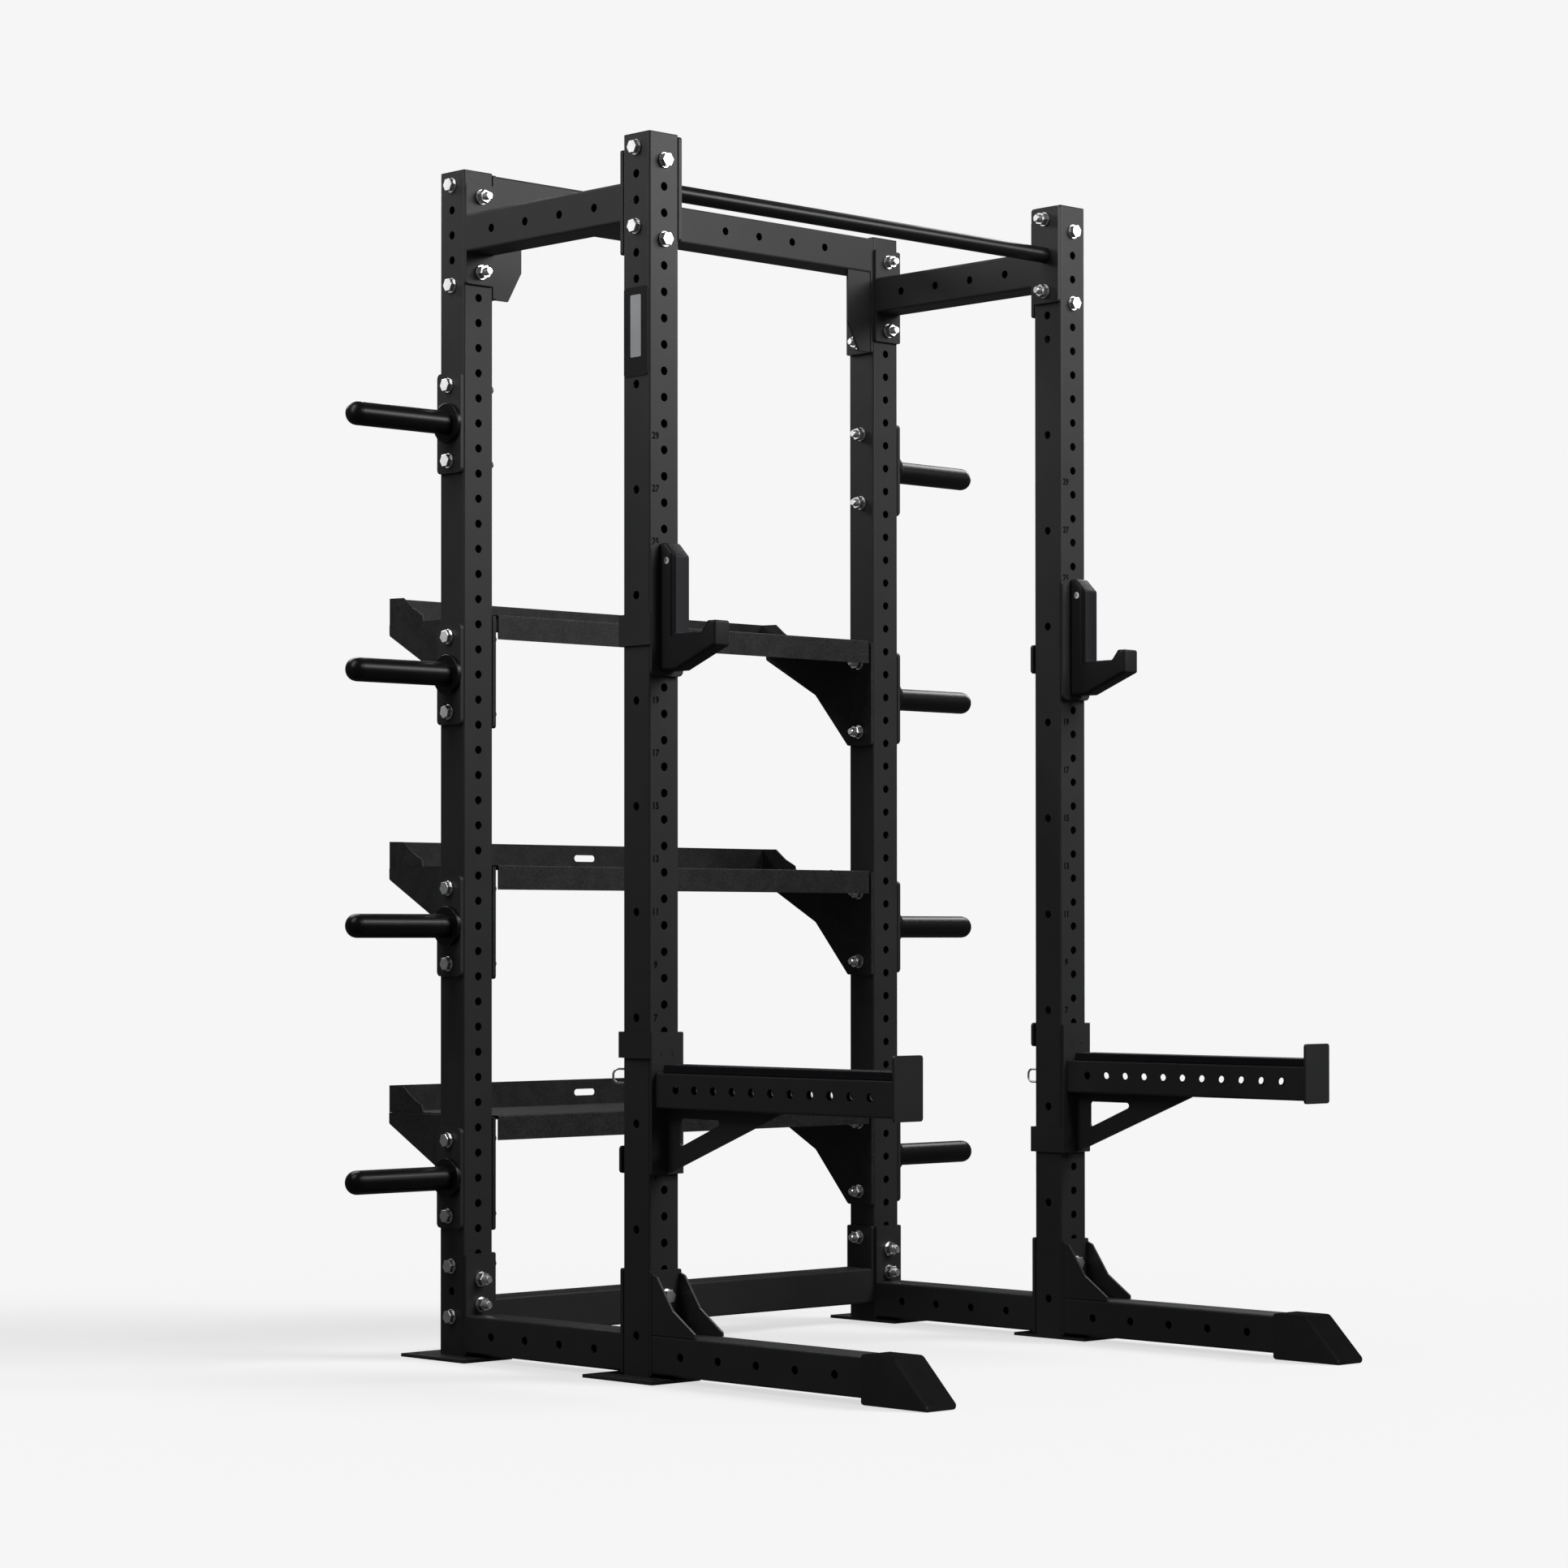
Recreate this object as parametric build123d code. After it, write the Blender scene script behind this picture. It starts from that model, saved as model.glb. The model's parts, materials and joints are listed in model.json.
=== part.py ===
from build123d import *
import math
import os

# Power cage: four perforated uprights on floor plates, joined by bolted rails and crossmembers, with
# a pull-up bar, forward stabiliser legs, storage horns, shelves, bar cradles and spotter arms.
# Frame: +X to the right seen from the front, +Y to the back, +Z up, floor at Z = 0.
# The origin is on the floor, midway between the four uprights. The cage is symmetric about X = 0,
# so each left-hand piece is modelled once and mirrored. All sizes are in millimetres.
# A welded piece is written as its separate plates and tubes, which touch face to face.

# ---- driving dimensions: cage -------------------------------------------------------------
BAY_WIDTH = 1168.4        # upright centre to upright centre, left to right
BAY_DEPTH = 558.8         # upright centre to upright centre, front to back
TUBE = 76.2               # outside width of the square tubing
WALL = 3.0
TUBE_RADIUS = 5.0         # outside corner radius of the tubing
PITCH = 50.8              # hole pitch, rows 0 to 44 on the front and back faces
HOLE_R = 8.5
ROW_ZERO = 109.4          # height of row 0
LAST_ROW = 44
UPRIGHT_TOP = 2395.4
CAP_THICK = 2.6
FLOOR_PLATE = 6.35
FLOOR_PLATE_IN = 38.1     # floor plate edge, inboard of the upright's centre
FLOOR_PLATE_OUT = 88.9    # floor plate edge, outboard of the upright's centre
FLOOR_PLATE_DEPTH = 203.2
ANCHOR_R = 7.0
ANCHOR_OUT = 62.0         # anchor holes, outboard of the upright's centre
ANCHOR_SPREAD = 83.0      # anchor holes, ahead of and behind the upright's centre
FLANGE = 8.0              # thickness of every bolted end flange
FLANGE_HEIGHT = 203.2

# ---- rails, crossmembers and pull-up bar --------------------------------------------------
RAIL_BASE_Z = 50.6        # centre height of the base side rails and legs
RAIL_TOP_ROW = 42.5       # row at the centre of the top side rails
RAIL_HOLE_PITCH = 104.0
BEAM_TOP_Z = 2356.1       # centre height of the upper rear crossmember
BEAM_BASE_Z = 80.4        # centre height of the lower rear crossmember
BEAM_HOLE_PITCH = 99.0
BEAM_HOLES = 4            # holes each side of the middle
GUSSET_THICK = 5.0
BAR_R = 16.5
BAR_ROW = 43

# ---- stabiliser legs and feet -------------------------------------------------------------
LEG_PLATE = 6.0           # leg's mounting plate
LEG_PLATE_HALF = 39.0
LEG_LENGTH = 650.0        # leg's end, forward of the upright's front face
LEG_FIRST_HOLE = 86.6
LEG_HOLE_PITCH = 104.3
LEG_HOLES = 5
LEG_WEB = 5.0
LEG_WEB_LINE = [(6, 204), (20, 199), (64, 138), (126, 97), (127, 88.7), (6, 88.7)]
FOOT_REAR = 573.8         # rear edge of the foot, forward of the upright's front face
FOOT_LINE = [(FOOT_REAR, 0), (738.5, 0), (741.5, 10), (657.5, 92.7), (FOOT_REAR, 92.7)]
FOOT_SKIN = 1.5

# ---- storage horns and shelves ------------------------------------------------------------
HORN_ROWS = (35, 25, 15, 5)
HORN_R = 24.15
HORN_REACH = 263.8        # tip, outboard of the upright's outer face
HORN_DOME = 24.0
HORN_PLATE_WIDTH = 75.0
HORN_PLATE_CORNER = 10.0
HORN_COLLAR_R = 40.0
HORN_COLLAR = 10.0
SHELVES = {"upper": 25, "middle": 15, "lower": 5}   # each shelf shares its horn's bolts
SHELF_RISE = 120.6        # shelf underside above its horn's centre
SHEET = 3.0
SHELF_HALF = 537.5
SHELF_BACK = 588.0
LIP_HALF = 531.0
LIP_DROP = 46.7
LIP_RISE = 56.0
SHELF_END_LINE = [(477, 3), (481, 17), (512, 32), (543, 55), (585, 56), (585, 3)]
BRACKET = 8.0
BRACKET_LINE = [(241.3, -228), (315.1, -226.4), (417.8, -109.6), (578, -23), (578, 0), (241.3, 0)]
LEDGE_WIDE = 30.0
LEDGE_THICK = 5.0
SCREW_X = 523.0           # shelf screws, from the centre plane
SCREW_Y = (352.0, 552.0)
SCREW_R = 4.0

# ---- bolts --------------------------------------------------------------------------------
BOLT_R = 7.94
BOLT_AF = 24.0
HEAD_HEIGHT = 10.0
NUT_HEIGHT = 13.5
WASHER_R = 15.0
WASHER_THICK = 3.0
BOLT_END = 12.0           # thread showing past the nut

# ---- bar cradles and spotter arms ---------------------------------------------------------
PAD_GAP = 0.5             # clearance between an attachment's liner and the upright
PAD = 3.0
PLATE = 6.0               # attachment plate
FACE = PAD_GAP + PAD + PLATE        # front of an attachment plate, ahead of the upright
ATTACH_HALF = 41.0
HOOK = 5.0                # strap that wraps round the upright
HOOK_GAP = 0.5
HOOK_TAIL = 3.5           # strap behind the upright, clear of its rear face
PEG_R = 7.95
CRADLE_LOW = 1350.0
CRADLE_HIGH = 1604.0
CRADLE_PEG_ROW = 28
CRADLE_STRAP = (1409.0, 1469.5)
CRADLE_LINE = [(FACE, 1359), (53.5, 1359), (164.5, 1401.6), (164.5, 1449.5), (150, 1449.5)]
CRADLE_LINE += [(150, 1443), (145, 1443), (127.6, 1423), (41.7, 1423), (41.7, 1588.1)]
CRADLE_LINE += [(25, 1604.8), (FACE, 1604.8)]
CRADLE_HALF = 21.0
LINER_LINE = [(41.7, 1588.1), (52, 1577.8), (52, 1429.2), (124.6, 1429.2), (142, 1449.5)]
LINER_LINE += [(150, 1449.5), (150, 1443), (145, 1443), (127.6, 1423), (41.7, 1423)]
LINER_HALF = 19.0
CRADLE_SCREW = (28.6, 1569.7)
SPOT_LOW = 394.0
SPOT_HIGH = 666.6
SPOT_STRAP_TOP = (616.4, 666.6)
SPOT_STRAP_BASE = (394.0, 446.7)
SPOT_PIN_ROW = 9
ARM_WIDTH = 63.5
ARM_LOW = 520.4
ARM_HIGH = 590.4
ARM_END = 651.1           # arm tube's end, forward of the upright's front face
ARM_HOLES = 11
ARM_HOLE_FIRST = 66.5
ARM_HOLE_PITCH = 52.3
ARM_HOLE_Z = 557.5
END_PLATE_HALF = 37.0
END_PLATE_LOW = 514.5
END_PLATE_HIGH = 634.5
WEB = 6.0
WEB_LINE = [(FACE, 397), (17, 397), (326.2, 518), (326.2, ARM_LOW), (FACE, ARM_LOW)]
WINDOW_LINE = [(47.5, 447), (47.5, 502), (182, 502)]
STRIP_START = 30.5
STRIP_END = 644.5
STRIP_STEP = 5.0
STRIP_HIGH = 605.0

# ---- lock pins ----------------------------------------------------------------------------
PIN_TIP = 32.0            # ahead of the upright's front face
PIN_HEAD_R = 13.0
PIN_HEAD = 7.0
STUB_R = 5.0
STUB = 8.0
HUB_R = 9.0
HUB_END = 6.0
WIRE_R = 2.2
LOOP_REACH = 35.0
LOOP_HEIGHT = 27.0
LOOP_BEND = 11.0
RUNNING = 0.08            # radial clearance of a pin in its own hole

XC = -BAY_WIDTH / 2       # centre of the left uprights
YF = -BAY_DEPTH / 2       # centre of the front uprights
YR = BAY_DEPTH / 2        # centre of the rear uprights
HALF = TUBE / 2
X_OUT = XC - HALF         # outer face, left side
X_IN = XC + HALF          # inner face, left side
Y_FRONT = YF - HALF       # front face of the front uprights
FRONT_SIDE_ROWS = [44.5, 43.5, 42.5, 41.5, 40.5, 39.5] + [35.5 - 4 * n for n in range(10)]
REAR_SIDE_ROWS = [44.5, 43.5, 42.5, 41.5, 40.5, 1.5, 0.5, -0.5]
REAR_SIDE_ROWS += [row + step for row in HORN_ROWS for step in (1.5, -1.5)]


# ---- helpers ------------------------------------------------------------------------------
def row_z(row):
    return ROW_ZERO + PITCH * row


def ahead(points):
    """Points given as (distance ahead of the upright's front face, height)."""
    return [(Y_FRONT - d, z) for d, z in points]


def slab(x0, x1, y0, y1, z0, z1):
    centre = Pos((x0 + x1) / 2, (y0 + y1) / 2, (z0 + z1) / 2)
    return centre * Box(abs(x1 - x0), abs(y1 - y0), abs(z1 - z0))


def side_profile(points, x0, x1):
    """Polygon of (y, z) points, run from x0 to x1."""
    face = make_face(Polyline(*points, close=True))
    return extrude(Plane.YZ.offset(x0) * face, x1 - x0)


def front_profile(points, y0, y1):
    """Polygon of (x, z) points, run from y0 to y1."""
    face = make_face(Polyline(*points, close=True))
    return extrude(Plane.XZ.offset(-y0) * face, y0 - y1)


def rod_x(x0, x1, y, z, radius):
    return Pos((x0 + x1) / 2, y, z) * Rot(0, 90, 0) * Cylinder(radius, abs(x1 - x0))


def rod_y(x, y0, y1, z, radius):
    return Pos(x, (y0 + y1) / 2, z) * Rot(90, 0, 0) * Cylinder(radius, abs(y1 - y0))


def rod_z(x, y, z0, z1, radius):
    return Pos(x, y, (z0 + z1) / 2) * Cylinder(radius, abs(z1 - z0))


def hollow(width, height, length):
    """Rectangular tube along +Z, centred on its section."""
    outer = RectangleRounded(width, height, TUBE_RADIUS)
    inner = RectangleRounded(width - 2 * WALL, height - 2 * WALL, TUBE_RADIUS - WALL)
    return extrude(outer - inner, length)


def tube_y(x, z, y0, y1, width, height):
    """Tube that runs forward from y0 to y1."""
    return Pos(x, y0, z) * Rot(90, 0, 0) * hollow(width, height, y0 - y1)


def plate_x(x0, x1, y0, y1, z0, z1, radius):
    return fillet(slab(x0, x1, y0, y1, z0, z1).edges().filter_by(Axis.X), radius)


def plate_y(x0, x1, y0, y1, z0, z1, radius):
    return fillet(slab(x0, x1, y0, y1, z0, z1).edges().filter_by(Axis.Y), radius)


def flip(shapes):
    return [mirror(shape, about=Plane.YZ) for shape in shapes]


def both_sides(shapes):
    return shapes + flip(shapes)


def save(name, shapes):
    found = []
    for shape in shapes:
        found.extend(shape.solids())
    export_step(Compound(children=found), f"parts/{name}.step")


# ---- uprights, floor plates and caps ------------------------------------------------------
def upright(y, side_rows):
    cuts = []
    for row in range(LAST_ROW + 1):
        cuts.append(rod_y(XC, y - HALF - 1, y + HALF + 1, row_z(row), HOLE_R))
    for row in side_rows:
        cuts.append(rod_x(X_OUT - 1, X_IN + 1, y, row_z(row), HOLE_R))
    return [Pos(XC, y, FLOOR_PLATE) * hollow(TUBE, TUBE, UPRIGHT_TOP - FLOOR_PLATE) - cuts]


def upright_caps():
    found = []
    for y in (YF, YR):
        cap = Pos(XC, y, UPRIGHT_TOP) * extrude(RectangleRounded(TUBE, TUBE, TUBE_RADIUS), CAP_THICK)
        found.append(fillet(cap.faces().sort_by(Axis.Z)[-1].edges(), 1.2))
    return both_sides(found)


def floor_plates():
    found = []
    for y in (YF, YR):
        depth = FLOOR_PLATE_DEPTH / 2
        body = slab(XC - FLOOR_PLATE_OUT, XC + FLOOR_PLATE_IN, y - depth, y + depth, 0, FLOOR_PLATE)
        body = fillet(body.edges().filter_by(Axis.Z), 4)
        for step in (-ANCHOR_SPREAD, ANCHOR_SPREAD):
            body = body - rod_z(XC - ANCHOR_OUT, y + step, -1, FLOOR_PLATE + 1, ANCHOR_R)
        found.append(body)
    return both_sides(found)


# ---- rails and crossmembers ---------------------------------------------------------------
def side_rail(z, flange_low, bolt_rows):
    """Rail from the front upright to the rear upright, with a bolted flange at each end."""
    y0 = YF + HALF
    y1 = YR - HALF
    tube = tube_y(XC, z, y1 - FLANGE, y0 + FLANGE, TUBE, TUBE)
    for index in (-1.5, -0.5, 0.5, 1.5):
        tube = tube - rod_x(X_OUT - 1, X_IN + 1, index * RAIL_HOLE_PITCH, z, HOLE_R)
    high = flange_low + FLANGE_HEIGHT
    front = plate_y(X_OUT, X_IN, y0, y0 + FLANGE, flange_low, high, 4)
    rear = plate_y(X_OUT, X_IN, y1 - FLANGE, y1, flange_low, high, 4)
    for row in bolt_rows:
        front = front - rod_y(XC, y0 - 1, y0 + FLANGE + 1, row_z(row), HOLE_R)
        rear = rear - rod_y(XC, y1 - FLANGE - 1, y1 + 1, row_z(row), HOLE_R)
    return [tube, front, rear]


def beam(z):
    run = -2 * (X_IN + FLANGE)
    return Pos(X_IN + FLANGE, YR, z) * Rot(0, 90, 0) * hollow(TUBE, TUBE, run)


def end_flange(y, low, high, bolt_rows, radius):
    flange = plate_x(X_IN, X_IN + FLANGE, y - HALF, y + HALF, low, high, radius)
    for row in bolt_rows:
        flange = flange - rod_x(X_IN - 1, X_IN + FLANGE + 1, y, row_z(row), HOLE_R)
    return flange


def crossmember_top():
    """Upper rear beam with deep end flanges and a gusset at each end."""
    tube = beam(BEAM_TOP_Z)
    for index in range(1, BEAM_HOLES + 1):
        for side in (-1, 1):
            x = side * index * BEAM_HOLE_PITCH
            tube = tube - rod_y(x, YR - HALF - 1, YR + HALF + 1, BEAM_TOP_Z + 1.4, HOLE_R)
    under = BEAM_TOP_Z - HALF
    outline = [(-538.1, under), (-469.4, under), (-469.4, 2204), (-504.7, 2142), (-538.1, 2142)]
    gusset = front_profile(outline, YR - HALF + 2, YR - HALF + 2 + GUSSET_THICK)
    ends = [end_flange(YR, row_z(40), UPRIGHT_TOP, (44.5, 40.5), 4), gusset]
    return [tube] + both_sides(ends)


def crossmember_base():
    low = BEAM_BASE_Z - HALF
    return [beam(BEAM_BASE_Z)] + both_sides([end_flange(YR, low, row_z(2), (1.5, -0.5), 4)])


def pullup_bar():
    bar = rod_x(X_IN + FLANGE, -X_IN - FLANGE, YF, row_z(BAR_ROW), BAR_R)
    flange = end_flange(YF, row_z(BAR_ROW - 2), UPRIGHT_TOP, (BAR_ROW + 1.5, BAR_ROW - 1.5), 6)
    return [bar] + both_sides([flange])


# ---- stabiliser legs and feet -------------------------------------------------------------
def leg():
    """Forward base leg, welded to a plate that bolts to the front upright, with two side webs."""
    tube = tube_y(XC, RAIL_BASE_Z, Y_FRONT - LEG_PLATE, Y_FRONT - LEG_LENGTH, TUBE, TUBE)
    for index in range(LEG_HOLES):
        y = Y_FRONT - LEG_FIRST_HOLE - index * LEG_HOLE_PITCH
        tube = tube - rod_x(X_OUT - 1, X_IN + 1, y, RAIL_BASE_Z, HOLE_R)
    low = row_z(2) - FLANGE_HEIGHT
    x0 = XC - LEG_PLATE_HALF
    x1 = XC + LEG_PLATE_HALF
    plate = plate_y(x0, x1, Y_FRONT - LEG_PLATE, Y_FRONT, low, row_z(2), 4)
    for row in (0, 1):
        plate = plate - rod_y(XC, Y_FRONT - LEG_PLATE - 1, Y_FRONT + 1, row_z(row), HOLE_R)
    outline = ahead(LEG_WEB_LINE)
    return [
        tube,
        plate,
        side_profile(outline, X_OUT, X_OUT + LEG_WEB),
        side_profile(outline, X_IN - LEG_WEB, X_IN),
    ]


def foot():
    """Moulded foot that sleeves over the end of the leg."""
    body = side_profile(ahead(FOOT_LINE), X_OUT - FOOT_SKIN, X_IN + FOOT_SKIN)
    across = body.edges().filter_by(Axis.X)
    body = fillet([across.sort_by(Axis.Z)[-1], across.sort_by(Axis.Z)[-2]], 4)
    nose = body.faces().filter_by(lambda f: f.normal_at().Y < -0.3 and f.normal_at().Z > 0.3)
    body = fillet(nose.edges(), 4)
    reach = LEG_LENGTH - FOOT_REAR + 1
    half = HALF + 0.2
    start = Pos(XC, Y_FRONT - FOOT_REAR + 1, RAIL_BASE_Z) * Rot(90, 0, 0)
    return [body - start * extrude(RectangleRounded(2 * half, 2 * half, TUBE_RADIUS), reach + 1)]


# ---- storage horns ------------------------------------------------------------------------
def horn(row):
    """Bolted plate, collar and tube."""
    z = row_z(row)
    half = HORN_PLATE_WIDTH / 2
    rise = FLANGE_HEIGHT / 2
    x_face = X_OUT - FLANGE
    tip = X_OUT - HORN_REACH + HORN_DOME
    plate = plate_x(x_face, X_OUT, YR - half, YR + half, z - rise, z + rise, HORN_PLATE_CORNER)
    for step in (-1.5, 1.5):
        plate = plate - rod_x(x_face - 1, X_OUT + 1, YR, row_z(row + step), HOLE_R)
    x_root = x_face - HORN_COLLAR
    collar = rod_x(x_root, x_face, YR, z, HORN_COLLAR_R)
    collar = fillet(collar.edges().sort_by(Axis.X)[0:1], 2)
    tube = rod_x(tip, x_root, YR, z, HORN_R) - rod_x(tip - 1, x_root, YR, z, HORN_R - WALL)
    return [plate, collar, tube]


def horn_caps():
    """Domed plugs in the ends of the horns."""
    found = []
    tip = X_OUT - HORN_REACH + HORN_DOME
    for row in HORN_ROWS:
        dome = fillet(rod_x(tip - HORN_DOME, tip, YR, row_z(row), HORN_R).edges().sort_by(Axis.X)[0:1], 22)
        found.append(dome + rod_x(tip, tip + 15, YR, row_z(row), HORN_R - WALL - 0.2))
    return both_sides(found)


# ---- shelves ------------------------------------------------------------------------------
def shelf(row):
    """Folded sheet: floor, turned-down front lip, turned-up rear lip and stepped ends."""
    z = row_z(row) + SHELF_RISE
    front = YR - HALF
    back = SHELF_BACK - SHEET
    lip = slab(-LIP_HALF, LIP_HALF, front, front + SHEET, z - LIP_DROP, z + SHEET)
    lip = fillet(lip.edges().filter_by(Axis.X).sort_by(lambda e: e.center().Y - e.center().Z)[0:1], 2.5)
    floor = slab(-LIP_HALF, LIP_HALF, front + SHEET, back, z, z + SHEET)
    floor = floor + slab(-SHELF_HALF, SHELF_HALF, front + 30, back, z, z + SHEET)
    rear = slab(-SHELF_HALF, SHELF_HALF, back, SHELF_BACK, z, z + LIP_RISE)
    rear = rear - Pos(0, back, z + 28) * Rot(90, 0, 0) * extrude(SlotOverall(60, 14), 9, both=True)
    for x in (-SCREW_X, SCREW_X):
        for y in SCREW_Y:
            floor = floor - rod_z(x, y, z - 1, z + SHEET + 1, SCREW_R + 0.4)
    outline = [(y, z + rise) for y, rise in SHELF_END_LINE]
    end = side_profile(outline, -SHELF_HALF, -SHELF_HALF + SHEET)
    return [floor, lip, rear] + both_sides([end])


def shelf_brackets(row):
    """Side plates on the uprights' inner faces, each with a ledge that carries the shelf."""
    z = row_z(row) + SHELF_RISE
    wall = side_profile([(y, z + rise) for y, rise in BRACKET_LINE], X_IN, X_IN + BRACKET)
    wall = fillet(wall.edges().filter_by(Axis.X).filter_by(lambda e: e.center().Z < z - 20), 6)
    for step in (-1.5, 1.5):
        wall = wall - rod_x(X_IN - 1, X_IN + BRACKET + 1, YR, row_z(row + step), HOLE_R)
    x0 = X_IN + BRACKET
    ledge = slab(x0, x0 + LEDGE_WIDE, YR - HALF + 12, 578, z - LEDGE_THICK, z)
    for y in SCREW_Y:
        ledge = ledge - rod_z(-SCREW_X, y, z - LEDGE_THICK - 1, z + 1, SCREW_R + 0.4)
    return both_sides([wall, ledge])


def shelf_screws():
    """Button-head screws and nuts that hold each shelf to its ledges."""
    found = []
    for row in SHELVES.values():
        top = row_z(row) + SHELF_RISE + SHEET
        low = top - SHEET - LEDGE_THICK
        for y in SCREW_Y:
            head = fillet(rod_z(-SCREW_X, y, top, top + 3.5, 8).edges().sort_by(Axis.Z)[-1:], 2)
            found.append(head + rod_z(-SCREW_X, y, low - 9, top, SCREW_R))
            ring = extrude(RegularPolygon(7.5, 6) - Circle(SCREW_R + 0.1), 6.5)
            found.append(Pos(-SCREW_X, y, low - 6.5) * ring)
    return both_sides(found)


# ---- bolts, washers and nuts --------------------------------------------------------------
CORNER_R = BOLT_AF / 2 / math.cos(math.radians(30))


def hex_blank(height, far_end):
    """Hexagon with the corners of one end turned off."""
    blank = Pos(0, 0, height / 2) * Cylinder(CORNER_R, height)
    edge = blank.edges().sort_by(Axis.Z)
    blank = chamfer(edge[-1:] if far_end else edge[0:1], 1.6)
    return extrude(RegularPolygon(CORNER_R, 6), height) & blank


def hex_bolt(grip):
    """The washer face is at z = 0 and the shank runs along +Z."""
    reach = grip + 2 * WASHER_THICK + NUT_HEIGHT + BOLT_END
    shank = Pos(0, 0, reach / 2) * Cylinder(BOLT_R, reach)
    shank = chamfer(shank.edges().sort_by(Axis.Z)[-1:], 1.5)
    return Pos(0, 0, -HEAD_HEIGHT) * hex_blank(HEAD_HEIGHT, False) + shank


def hex_nut():
    bore = Pos(0, 0, NUT_HEIGHT / 2) * Cylinder(BOLT_R + 0.1, NUT_HEIGHT + 2)
    return hex_blank(NUT_HEIGHT, True) - bore


def joint_list():
    """Every through bolt, left side: (seat of the head's washer, direction, grip)."""
    found = []
    single = TUBE + FLANGE
    for row in (44, 41):
        found.append(((XC, Y_FRONT, row_z(row)), (0, 1, 0), single))
    for row in (1, 0):
        found.append(((XC, Y_FRONT - LEG_PLATE, row_z(row)), (0, 1, 0), single + LEG_PLATE))
    for row in (44, 41, 1, 0):
        found.append(((XC, YR + HALF, row_z(row)), (0, -1, 0), single))
    for row in (BAR_ROW + 1.5, BAR_ROW - 1.5):
        found.append(((X_OUT, YF, row_z(row)), (1, 0, 0), single))
    for row in (44.5, 40.5, 1.5, -0.5):
        found.append(((X_OUT, YR, row_z(row)), (1, 0, 0), single))
    for row in HORN_ROWS:
        grip = single + BRACKET if row in SHELVES.values() else single
        for step in (1.5, -1.5):
            found.append(((X_OUT - FLANGE, YR, row_z(row + step)), (1, 0, 0), grip))
    return found


def fasteners():
    bolts = []
    washers = []
    nuts = []
    nut = hex_nut()
    ring = extrude(Circle(WASHER_R) - Circle(HOLE_R), WASHER_THICK)
    for origin, direction, grip in joint_list():
        seat = Plane(origin=origin, z_dir=direction).location
        bolts.append(seat * Pos(0, 0, -WASHER_THICK) * hex_bolt(grip))
        washers.append(seat * Pos(0, 0, -WASHER_THICK) * ring)
        washers.append(seat * Pos(0, 0, grip) * ring)
        nuts.append(seat * Pos(0, 0, grip + WASHER_THICK) * nut)
    return both_sides(bolts), both_sides(washers), both_sides(nuts)


# ---- straps and plates shared by the attachments -------------------------------------------
def strap(z0, z1, side):
    """Strap round one side of the upright and across its back. side is -1 outer, +1 inner."""
    near = HALF + HOOK_GAP
    far = near + HOOK
    rear = Y_FRONT + TUBE + HOOK_TAIL + PLATE
    cheek = slab(XC + side * near, XC + side * far, Y_FRONT - FACE, rear, z0, z1)
    outer = cheek.edges().filter_by(Axis.Z).filter_by(lambda e: abs(e.center().X - XC) > far - 0.01)
    cheek = fillet(outer, 4)
    tail = slab(XC + side * near, XC - side * (HALF + 1.9), rear - PLATE, rear, z0, z1)
    tip = tail.edges().filter_by(Axis.Y).filter_by(lambda e: side * (e.center().X - XC) < 0)
    return [cheek, fillet(tip, 7)]


def attachment_plate(z0, z1, radius, straps):
    face = Y_FRONT - FACE
    plate = plate_y(XC - ATTACH_HALF, XC + ATTACH_HALF, face, face + PLATE, z0, z1, radius)
    for piece in straps:
        plate = plate - piece
    return plate


def attachment_pad(z0, z1, row):
    """Liner between the plate and the upright."""
    back = Y_FRONT - PAD_GAP
    pad = plate_y(XC - HALF, XC + HALF, back - PAD, back, z0 + 2, z1 - 2, 8)
    return [pad - rod_y(XC, back - PAD - 1, back + 1, row_z(row), PEG_R + 0.4)]


# ---- bar cradles --------------------------------------------------------------------------
def cradle_bracket():
    """Plate with a peg for one upright hole and a strap that hooks round the upright."""
    straps = strap(*CRADLE_STRAP, -1)
    peg = rod_y(XC, Y_FRONT - FACE + PLATE, Y_FRONT + 30, row_z(CRADLE_PEG_ROW), PEG_R)
    peg = chamfer(peg.edges().sort_by(Axis.Y)[-1:], 2)
    return [attachment_plate(CRADLE_LOW, CRADLE_HIGH, 12, straps), peg] + straps


def cradle_body():
    """Moulded block with the hook that carries the bar."""
    body = side_profile(ahead(CRADLE_LINE), XC - CRADLE_HALF, XC + CRADLE_HALF)
    d, z = CRADLE_SCREW
    for side in (-1, 1):
        inner = XC + side * (CRADLE_HALF - 3)
        body = body - rod_x(inner, inner + side * 5, Y_FRONT - d, z, 7.6)
    return [body]


def cradle_liner():
    """Low-friction strip over the bar face, the hook's floor and its lip."""
    return [side_profile(ahead(LINER_LINE), XC - LINER_HALF, XC + LINER_HALF)]


def cradle_screws():
    found = []
    d, z = CRADLE_SCREW
    for side in (-1, 1):
        inner = XC + side * (CRADLE_HALF - 3)
        head = rod_x(inner, inner + side * 2.8, Y_FRONT - d, z, 7)
        hexagon = Pos(inner + side * 2.8, Y_FRONT - d, z) * Rot(0, 90, 0)
        found.append(head - hexagon * extrude(RegularPolygon(3.4, 6), 2, both=True))
    return found


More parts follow.
